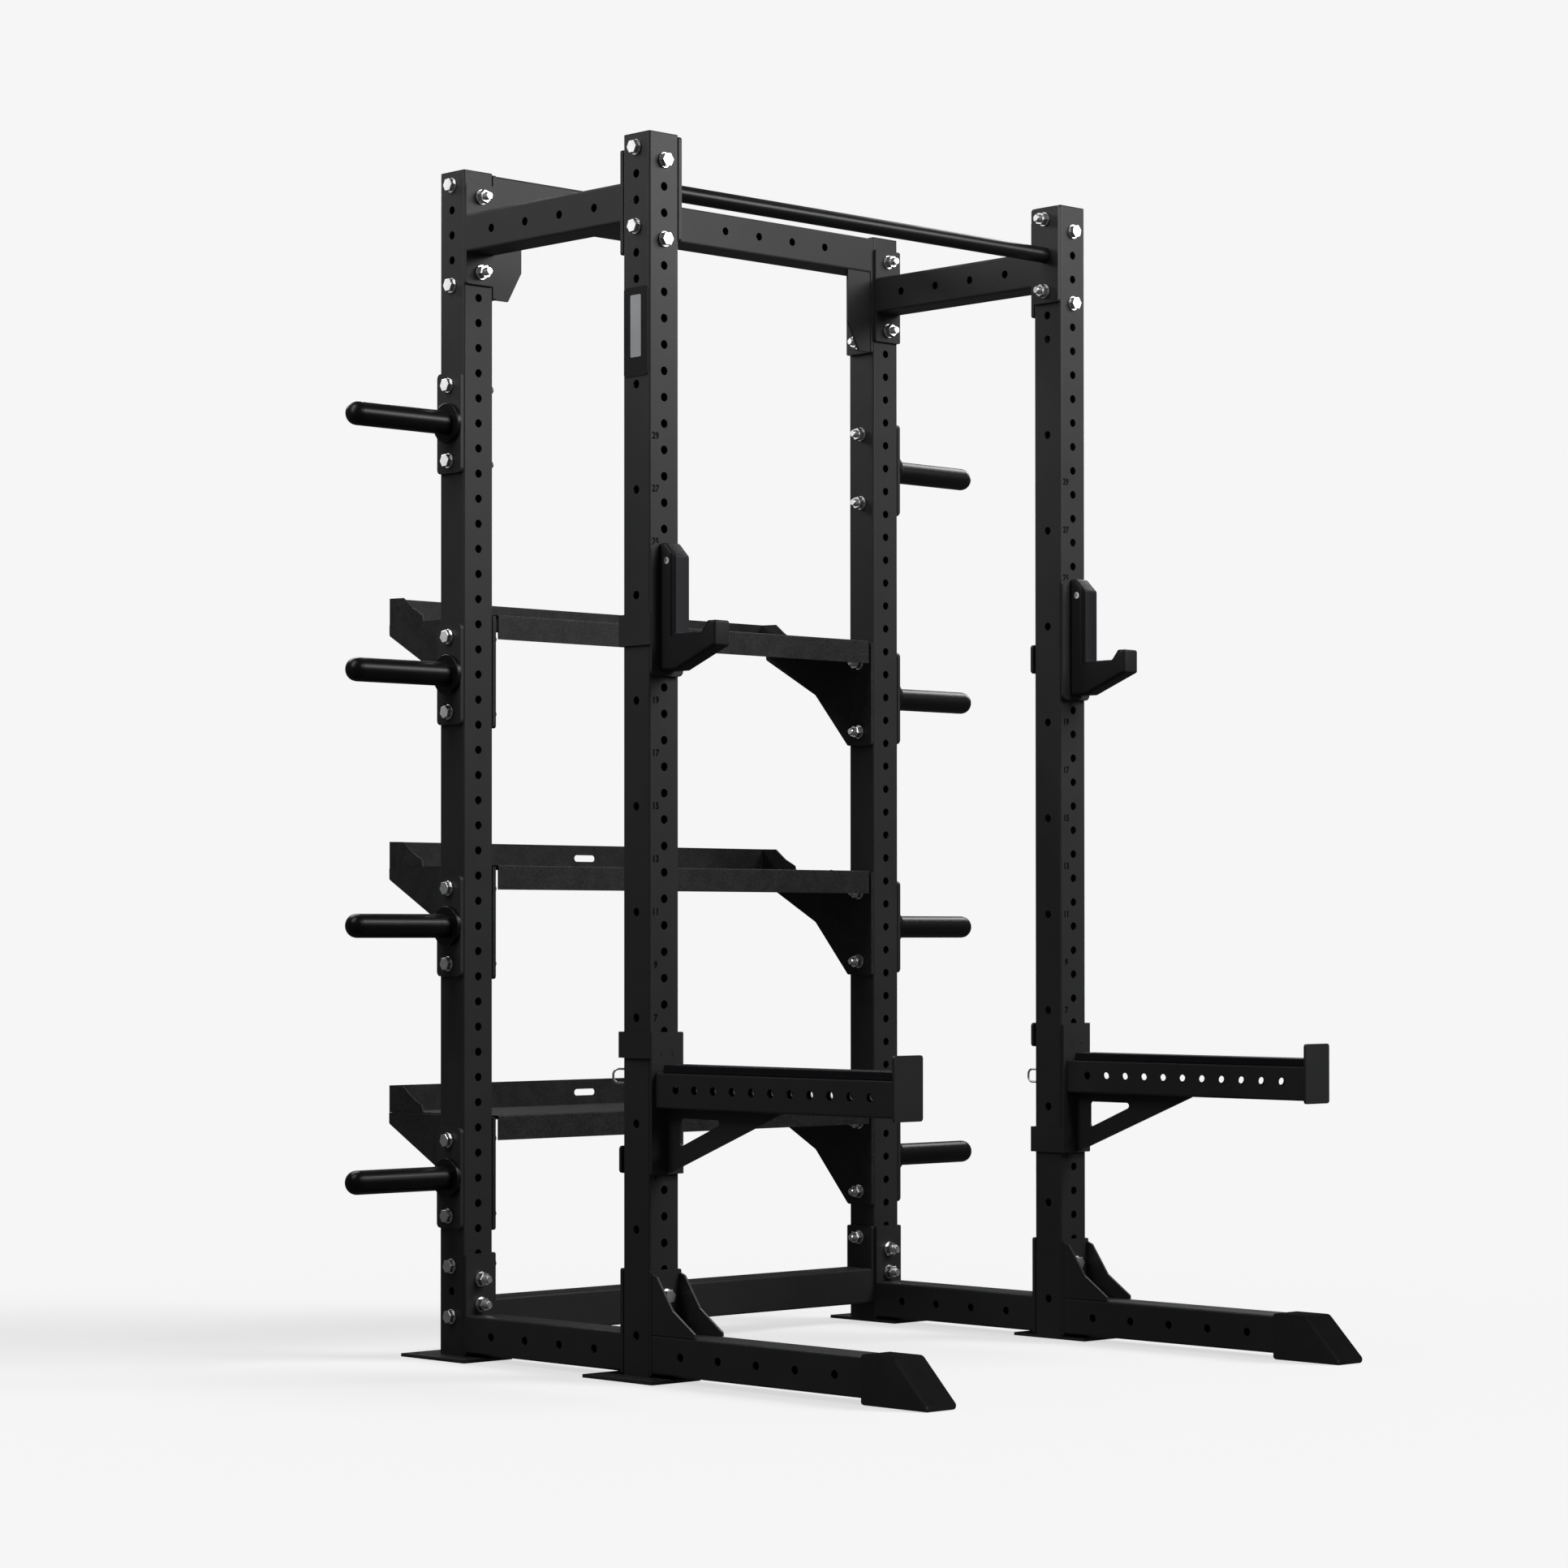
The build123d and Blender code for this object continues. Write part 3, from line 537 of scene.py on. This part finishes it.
def washer_mesh(bm, outer, thick):
    """Flat washer along -Z with a broken outer edge."""
    section = [(WASHER_BORE_R, 0.0), (WASHER_BORE_R, -thick)]
    section += [(outer - WASHER_EDGE, -thick), (outer, -thick + WASHER_EDGE)]
    section += [(outer, -WASHER_EDGE), (outer - WASHER_EDGE, 0.0)]
    rings = [circle(bm, WASHER_STEPS, z, radius) for radius, z in section]
    for low, high in zip(rings, rings[1:] + rings[:1]):
        join_ring(bm, low, high)


def placed(bm, build, place, outward, spin):
    """Adds a part whose origin is at place and whose +Z points outward."""
    part = bmesh.new()
    build(part)
    turn = Vector(outward).to_track_quat("Z", "Y").to_matrix().to_4x4()
    matrix = Matrix.Translation(place) @ turn @ Matrix.Rotation(spin, 4, "Z")
    bmesh.ops.transform(part, matrix=matrix, verts=part.verts)
    mesh = bpy.data.meshes.new("scratch")
    part.to_mesh(mesh)
    part.free()
    bm.from_mesh(mesh)
    bpy.data.meshes.remove(mesh)


def add_bolts(bm):
    """Adds the bolts, and returns the axis, the side of the head and the middle of each."""
    found = []
    for lump in islands("hex_bolts"):
        low, high, sizes = lump_box(lump)
        axis = 0 if sizes[0] > sizes[1] else 1
        centre = (low + high) / 2
        out = 1.0 if head_level(lump, centre, axis) > centre[axis] else -1.0
        head = centre.copy()
        head[axis] = high[axis] if out > 0 else low[axis]
        thread = centre.copy()
        thread[axis] = low[axis] if out > 0 else high[axis]
        thread[axis] += out * THREAD_RUN
        outward = along(axis, out)
        back = [-value for value in outward]
        length = high[axis] - low[axis]
        spin = random.uniform(0.0, SIXTH_TURN) * HEAD_SPIN
        placed(bm, lambda part: bolt_mesh(part, length), head, outward, spin)
        placed(bm, thread_mesh, thread, back, spin)
        found.append((axis, out, centre))
    return found


def add_nuts(bm, bolts):
    """Adds the nuts, each with its chamfer turned away from the head of its bolt."""
    for lump in islands("hex_nuts"):
        low, high, sizes = lump_box(lump)
        axis = sizes.index(min(sizes))
        centre = (low + high) / 2
        out = 1.0
        for bolt_axis, head_out, bolt_centre in bolts:
            across = centre - bolt_centre
            distance = abs(across[axis])
            across[axis] = 0.0
            if bolt_axis == axis and across.length < SAME_LINE and distance < SAME_BOLT:
                out = -head_out
        place = centre.copy()
        place[axis] = high[axis] if out > 0 else low[axis]
        height = sizes[axis]
        spin = random.uniform(0.0, SIXTH_TURN)
        placed(bm, lambda part: nut_mesh(part, height), place, along(axis, out), spin)


def add_washers(bm):
    for lump in islands("washers"):
        low, high, sizes = lump_box(lump)
        axis = sizes.index(min(sizes))
        place = (low + high) / 2
        place[axis] = high[axis]
        radius = sizes[(axis + 1) % 3] / 2
        thick = sizes[axis]
        placed(bm, lambda part: washer_mesh(part, radius, thick), place, along(axis, 1.0), 0.0)


def hardware():
    """Bolts with turned heads and rolled threads, nuts and washers, each where the frame has it."""
    bolts = bmesh.new()
    nuts = bmesh.new()
    washers = bmesh.new()
    add_nuts(nuts, add_bolts(bolts))
    add_washers(washers)
    made = add_mesh("bolt_set", bolts, "cage", ZINC, HARDWARE_SMOOTH)
    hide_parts("hex_bolts")
    made = add_mesh("nut_set", nuts, "cage", ZINC, HARDWARE_SMOOTH)
    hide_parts("hex_nuts")
    made = add_mesh("washer_set", washers, "cage", ZINC, HARDWARE_SMOOTH)
    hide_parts("washers")


hardware()


# ---- rounded mouldings -----------------------------------------------------------------------
ARC_STEPS = 6
LEAST_R = 0.0002
ROOM_SHARE = 0.49  # share of an edge that the arc at one of its ends may take
MM_PER_M = 1000
MOULDING_SMOOTH = 30.0


def rounded_outline(points, radii, weights, inset):
    """Outline of (d, z) points moved in by inset times each edge's weight, with arcs at its corners."""
    count = len(points)
    area = sum(points[i - 1][0] * points[i][1] - points[i][0] * points[i - 1][1] for i in range(count))
    facing = 1.0 if area > 0 else -1.0
    edges = []
    for i in range(count):
        first = Vector(points[i])
        run = (Vector(points[(i + 1) % count]) - first).normalized()
        inward = Vector((-run.y, run.x)) * facing
        edges.append((first + inward * inset * weights[i], run))
    corners = []
    for i in range(count):
        p, u = edges[i - 1]
        q, v = edges[i]
        corners.append(p + u * ((q - p).cross(v) / u.cross(v)))
    found = []
    for i in range(count):
        corner = corners[i]
        before = corner - corners[i - 1]
        after = corners[(i + 1) % count] - corner
        u = before.normalized()
        v = after.normalized()
        side = 1.0 if u.cross(v) > 0 else -1.0
        turn = u.angle(v)
        radius = radii[i] - inset if side == facing else radii[i] + inset
        room = ROOM_SHARE * min(before.length, after.length)
        radius = max(LEAST_R, min(radius, room / math.tan(turn / 2)))
        begin = corner - u * radius * math.tan(turn / 2)
        centre = begin + Vector((-u.y, u.x)) * side * radius
        arm = begin - centre
        for step in range(ARC_STEPS + 1):
            angle = side * turn * step / ARC_STEPS
            x = arm.x * math.cos(angle) - arm.y * math.sin(angle)
            y = arm.x * math.sin(angle) + arm.y * math.cos(angle)
            found.append((centre.x + x, centre.y + y))
    return found


def moulding(profile, middle, half, edge):
    """Solid of a side profile, half to each side of middle, with both its rims rounded by edge."""
    points = [(d / MM_PER_M, z / MM_PER_M) for d, z, radius, weight in profile]
    radii = [radius / MM_PER_M for d, z, radius, weight in profile]
    weights = [weight for d, z, radius, weight in profile]
    rim = []
    for step in range(ARC_STEPS + 1):
        angle = math.pi / 2 * step / ARC_STEPS
        rim.append((half - edge * (1 - math.cos(angle)), edge * (1 - math.sin(angle))))
    stations = [(-x, inset) for x, inset in rim] + [(x, inset) for x, inset in reversed(rim)]
    bm = bmesh.new()
    rings = []
    for x, inset in stations:
        outline = rounded_outline(points, radii, weights, inset)
        rings.append([bm.verts.new((middle + x, FACE_Y - d, z)) for d, z in outline])
    for low, high in zip(rings, rings[1:]):
        join_ring(bm, low, high)
    bm.faces.new(rings[0])
    bm.faces.new(rings[-1][::-1])
    return bm


# Side profiles: (distance ahead of the upright, height, corner radius, weight of the edge that
# starts there). A rim is rounded all along an edge of weight 1, and not at all along one of 0.
CRADLE_PROFILE = [(9.5, 1359, 2, 1), (53.5, 1359, 8, 1), (164.5, 1401.6, 5, 1), (164.5, 1449.5, 5, 1)]
CRADLE_PROFILE += [(150, 1449.5, 0.3, 0.2), (150, 1443, 0.3, 0.2), (145, 1443, 0.3, 0.2)]
CRADLE_PROFILE += [(127.6, 1423, 0.5, 0.2), (41.7, 1423, 0.5, 0.2), (41.7, 1588.1, 1.5, 1)]
CRADLE_PROFILE += [(25, 1604.8, 9, 1), (9.5, 1604.8, 2, 1)]
LINER_PROFILE = [(34, 1583, 0.5, 1), (41.7, 1588.1, 0.5, 1), (52, 1577.8, 6, 1), (52, 1429.2, 3, 1)]
LINER_PROFILE += [(124.6, 1429.2, 4, 1), (142, 1449.5, 3, 1), (150, 1449.5, 1, 0), (150, 1436, 0.5, 0)]
LINER_PROFILE += [(128, 1412, 0.5, 0), (34, 1412, 0.5, 0)]
FOOT_PROFILE = [(573.8, 0, 4, 1), (738.5, 0, 5, 1), (741.5, 10, 9, 1), (657.5, 92.7, 14, 1)]
FOOT_PROFILE += [(573.8, 92.7, 2, 0)]
CRADLE_HALF = 0.021
LINER_HALF = 0.019
CRADLE_EDGE = 0.0065
LINER_EDGE = 0.0034
FOOT_EDGE = 0.0065
POCKET_D = 0.0286  # a screw pocket's middle, ahead of the upright
POCKET_Z = 1.5697
POCKET_R = 0.0076
POCKET_DEPTH = 0.003
POCKET_STEPS = 32
CUTTER_LENGTH = 0.010


def pocketed(piece, middle):
    """Sinks the screw pockets into both sides of a cradle block."""
    bm = bmesh.new()
    for side in (-1, 1):
        x = middle + side * (CRADLE_HALF - POCKET_DEPTH + CUTTER_LENGTH / 2)
        place = Vector((x, FACE_Y - POCKET_D, POCKET_Z))
        matrix = Matrix.Translation(place) @ Matrix.Rotation(math.radians(90), 4, "Y")
        bmesh.ops.create_cone(
            bm,
            cap_ends=True,
            segments=POCKET_STEPS,
            radius1=POCKET_R,
            radius2=POCKET_R,
            depth=CUTTER_LENGTH,
            matrix=matrix,
        )
    mesh = bpy.data.meshes.new("pocket_cutter")
    bm.to_mesh(mesh)
    bm.free()
    cutter = bpy.data.objects.new("pocket_cutter", mesh)
    bpy.context.scene.collection.objects.link(cutter)
    cut = piece.modifiers.new("pockets", "BOOLEAN")
    cut.operation = "DIFFERENCE"
    cut.solver = "EXACT"
    cut.object = cutter
    bpy.context.view_layer.update()
    shaped = bpy.data.meshes.new_from_object(piece.evaluated_get(bpy.context.evaluated_depsgraph_get()))
    piece.modifiers.clear()
    piece.data = shaped
    bpy.data.objects.remove(cutter)


def cradle_and_foot(sign, side):
    """Moulded block and liner of one bar cradle, and the foot on the same side."""
    middle = sign * UPRIGHT_X
    body = moulding(CRADLE_PROFILE, middle, CRADLE_HALF, CRADLE_EDGE)
    made = add_mesh(f"cradle_block_{side}", body, f"cradle_{side}", PLASTIC, MOULDING_SMOOTH)
    pocketed(made, middle)
    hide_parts(f"cradle_body_{side}")
    liner = moulding(LINER_PROFILE, middle, LINER_HALF, LINER_EDGE)
    made = add_mesh(f"cradle_face_{side}", liner, f"cradle_{side}", LINER, MOULDING_SMOOTH)
    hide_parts(f"cradle_liner_{side}")
    low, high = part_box(f"foot_{side}")
    foot = moulding(FOOT_PROFILE, middle, (high[0] - low[0]) / 2, FOOT_EDGE)
    made = add_mesh(f"foot_shoe_{side}", foot, "cage", PLASTIC, MOULDING_SMOOTH)
    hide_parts(f"foot_{side}")


for sign, side in SIDES:
    cradle_and_foot(sign, side)


# ---- label plate -----------------------------------------------------------------------------
PANEL_HALF = 0.0150
PANEL_BOTTOM = 1.965
PANEL_TOP = 2.085
PANEL_CORNER = 0.003
PANEL_THICK = 0.00012
PANEL_SMOOTH = 35.0
CORNER_STEPS = 6


def label_panel():
    """Plain grey printed field on the label plate, with nothing written on it."""
    low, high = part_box("label_plate")
    face = low[0]
    middle = (low[1] + high[1]) / 2
    outline = []
    for y_side, z_side, turn in ((1, 1, 0), (-1, 1, 90), (-1, -1, 180), (1, -1, 270)):
        centre_y = middle + y_side * (PANEL_HALF - PANEL_CORNER)
        centre_z = PANEL_TOP - PANEL_CORNER if z_side > 0 else PANEL_BOTTOM + PANEL_CORNER
        for step in range(CORNER_STEPS + 1):
            angle = math.radians(turn + 90 * step / CORNER_STEPS)
            y = centre_y + PANEL_CORNER * math.cos(angle)
            z = centre_z + PANEL_CORNER * math.sin(angle)
            outline.append((y, z))
    bm = bmesh.new()
    back = [bm.verts.new((face, y, z)) for y, z in outline]
    front = [bm.verts.new((face - PANEL_THICK, y, z)) for y, z in outline]
    join_ring(bm, back, front)
    bm.faces.new(front)
    bm.faces.new(back[::-1])
    add_mesh("label_field", bm, "cage", PANEL, PANEL_SMOOTH)


label_panel()


# ---- hole numbers ----------------------------------------------------------------------------
NUMBERS = range(1, 30, 2)
NUMBER_ROW = 4.5  # number n stands n + 4.5 hole pitches above the lowest hole
NUMBER_SIZE = 0.0178
NUMBER_THICK = 0.00006
NUMBER_BOLD = 0.0007
NUMBER_LEFT = 0.0225  # from the upright's centre line
NUMBER_LIFT = 0.0001


def marking(sign, side, number):
    """A hole number inked on the left part of a front upright's front face."""
    name = f"mark_{side}_{number}"
    curve = bpy.data.curves.new(name, "FONT")
    curve.body = str(number)
    curve.size = NUMBER_SIZE
    curve.extrude = NUMBER_THICK
    curve.offset = NUMBER_BOLD
    curve.align_x = "CENTER"
    curve.align_y = "CENTER"
    text = bpy.data.objects.new(name, curve)
    bpy.context.scene.collection.objects.link(text)
    z = FIRST_HOLE_Z + HOLE_PITCH * (number + NUMBER_ROW)
    place = Matrix.Translation((sign * UPRIGHT_X - NUMBER_LEFT, FACE_Y - NUMBER_LIFT, z))
    text.matrix_world = place @ Matrix.Rotation(math.radians(90), 4, "X")
    bpy.context.view_layer.update()
    mesh = bpy.data.meshes.new_from_object(text)
    mesh.transform(text.matrix_world)
    bpy.data.objects.remove(text)
    made = bpy.data.objects.new(name, mesh)
    bpy.context.scene.collection.objects.link(made)
    mesh.materials.clear()
    mesh.materials.append(MARKING)
    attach(made, "cage")


for sign, side in SIDES:
    for number in NUMBERS:
        marking(sign, side, number)


# ---- floor -----------------------------------------------------------------------------------
WHITE = (1, 1, 1, 1)
BACKDROP = 0.922
FILL = 0.085
FLOOR_HALF = 60.0
FLOOR_WHITE = 0.6
FLOOR_BOUNCE = 0.075  # what the floor sheds on the cage
SUN = 1.15
SUN_AIM = (-0.70, 0.71, -0.74)
SUN_ANGLE = 26.0
SKY = 0.45
SKY_AIM = (0.0, 0.0, -1.0)
SKY_ANGLE = 80.0


def floor():
    """Pale floor that blends into the backdrop; only soft shadows show on it."""
    bm = bmesh.new()
    bmesh.ops.create_grid(bm, x_segments=1, y_segments=1, size=FLOOR_HALF)
    mesh = bpy.data.meshes.new("floor")
    bm.to_mesh(mesh)
    bm.free()
    made = bpy.data.objects.new("floor", mesh)
    bpy.context.scene.collection.objects.link(made)
    material = bpy.data.materials.new("floor_paint")
    material.use_nodes = True
    tree = material.node_tree
    tree.nodes.clear()
    sunlit = FLOOR_WHITE * (SUN * -SUN_AIM[2] / Vector(SUN_AIM).length + SKY) / math.pi
    glow = node(tree, "ShaderNodeEmission", Color=WHITE, Strength=BACKDROP - sunlit - FLOOR_WHITE * FILL)
    matt = node(tree, "ShaderNodeBsdfDiffuse", Color=(FLOOR_WHITE, FLOOR_WHITE, FLOOR_WHITE, 1))
    both = tree.nodes.new("ShaderNodeAddShader")
    dim = node(tree, "ShaderNodeEmission", Color=WHITE, Strength=FLOOR_BOUNCE)
    path = tree.nodes.new("ShaderNodeLightPath")
    choose = tree.nodes.new("ShaderNodeMixShader")
    out = tree.nodes.new("ShaderNodeOutputMaterial")
    tree.links.new(glow.outputs[0], both.inputs[0])
    tree.links.new(matt.outputs[0], both.inputs[1])
    tree.links.new(path.outputs["Is Camera Ray"], choose.inputs["Fac"])
    tree.links.new(dim.outputs[0], choose.inputs[1])
    tree.links.new(both.outputs[0], choose.inputs[2])
    tree.links.new(choose.outputs[0], out.inputs["Surface"])
    mesh.materials.append(material)
    return made


# ---- light -----------------------------------------------------------------------------------
def linked_light(name, data, receivers, state):
    """Adds a light that falls only on the receivers (INCLUDE), or on all but them (EXCLUDE)."""
    made = bpy.data.objects.new(name, data)
    bpy.context.scene.collection.objects.link(made)
    group = bpy.data.collections.new(f"{name}_receivers")
    for receiver in receivers:
        group.objects.link(receiver)
    for entry in group.collection_objects:
        entry.light_linking.link_state = state
    made.light_linking.receiver_collection = group
    return made


def area_light(name, place, aim, width, height, power, receivers, state):
    data = bpy.data.lights.new(name, "AREA")
    data.shape = "RECTANGLE"
    data.size = width
    data.size_y = height
    data.energy = power
    made = linked_light(name, data, receivers, state)
    made.location = place
    made.rotation_euler = (Vector(aim) - Vector(place)).to_track_quat("-Z", "Y").to_euler()
    made.visible_camera = False


def sun_light(name, aim, angle, power, receivers):
    data = bpy.data.lights.new(name, "SUN")
    data.energy = power
    data.angle = math.radians(angle)
    made = linked_light(name, data, receivers, "INCLUDE")
    made.rotation_euler = Vector(aim).to_track_quat("-Z", "Y").to_euler()


def backdrop():
    """White where the camera sees it, and a dim, slightly cool fill for everything else."""
    world = bpy.data.worlds.new("studio")
    bpy.context.scene.world = world
    world.use_nodes = True
    tree = world.node_tree
    tree.nodes.clear()
    seen = node(tree, "ShaderNodeBackground", Color=WHITE, Strength=BACKDROP)
    fill = node(tree, "ShaderNodeBackground", Color=(0.96, 0.98, 1.0, 1), Strength=FILL)
    path = tree.nodes.new("ShaderNodeLightPath")
    mix = tree.nodes.new("ShaderNodeMixShader")
    out = tree.nodes.new("ShaderNodeOutputWorld")
    tree.links.new(path.outputs["Is Camera Ray"], mix.inputs["Fac"])
    tree.links.new(fill.outputs[0], mix.inputs[1])
    tree.links.new(seen.outputs[0], mix.inputs[2])
    tree.links.new(mix.outputs[0], out.inputs["Surface"])


# Soft boxes, which miss the floor and the feet: name, place, aim, width, height and power.
SOFT_BOXES = (
    ("key", (1.1, -2.3, 3.1), (0.5, -0.2, 1.7), 2.6, 0.9, 69),
    ("front", (2.2, -5.4, 3.4), (0.4, 0.0, 1.9), 2.2, 1.4, 66),
    ("left", (-2.3, 0.3, 3.1), (-0.5, 0.0, 1.8), 0.9, 2.0, 30),
    ("back", (0.0, 2.4, 3.2), (0.0, 0.2, 1.6), 2.4, 1.0, 46),
    ("right", (2.5, 0.6, 3.0), (0.5, 0.0, 1.6), 1.0, 2.0, 40),
)
# Cards that light only the bright metal.
METAL_CARDS = (
    ("card_right", (3.8, -4.0, 2.9), (0.0, 0.0, 2.2), 2.6, 2.0, 95),
    ("card_left", (-3.8, 3.8, 2.9), (0.0, 0.0, 2.2), 2.6, 2.0, 19),
)
# The card that lights only the feet.
FOOT_CARD = ("foot_card", (-2.6, -4.6, 0.9), (0.2, -0.9, 0.1), 1.4, 1.0, 110)
METAL_NODES = ["shelf_screws"]
for sign, side in SIDES:
    METAL_NODES += [f"cradle_screws_{side}", f"lock_pin_{side}", f"pin_handle_{side}"]

ground = floor()
backdrop()
feet = [bpy.data.objects[f"foot_shoe_{side}"] for sign, side in SIDES]
metal = [bpy.data.objects[name] for name in ("bolt_set", "nut_set", "washer_set")]
metal += [NODES[name] for name in METAL_NODES]
for soft_box in SOFT_BOXES:
    area_light(*soft_box, [ground] + feet, "EXCLUDE")
for card in METAL_CARDS:
    area_light(*card, metal, "INCLUDE")
area_light(*FOOT_CARD, feet, "INCLUDE")
sun_light("floor_sun", SUN_AIM, SUN_ANGLE, SUN, [ground])
sun_light("floor_sky", SKY_AIM, SKY_ANGLE, SKY, [ground])

# ---- camera ----------------------------------------------------------------------------------
FRAME_PIXELS = 1932
FOCAL_PIXELS = 5083.4
SHIFT_PIXELS = 127.66
SENSOR_MM = 36.0
CAMERA_PLACE = (-5.907, -6.194, 0.8474)
CAMERA_LIFT = 0.01215  # radians above level
CAMERA_ROLL = 0.00051
CAMERA_HEADING = -0.76501
CAMERA_REACH = 200.0

data = bpy.data.cameras.new("camera")
camera = bpy.data.objects.new("camera", data)
bpy.context.scene.collection.objects.link(camera)
camera.location = CAMERA_PLACE
camera.rotation_euler = (math.radians(90) + CAMERA_LIFT, CAMERA_ROLL, CAMERA_HEADING)
data.sensor_width = SENSOR_MM
data.lens = FOCAL_PIXELS / FRAME_PIXELS * SENSOR_MM
data.shift_y = SHIFT_PIXELS / FRAME_PIXELS
data.clip_end = CAMERA_REACH
bpy.context.scene.camera = camera
bpy.context.scene.view_settings.view_transform = "Standard"
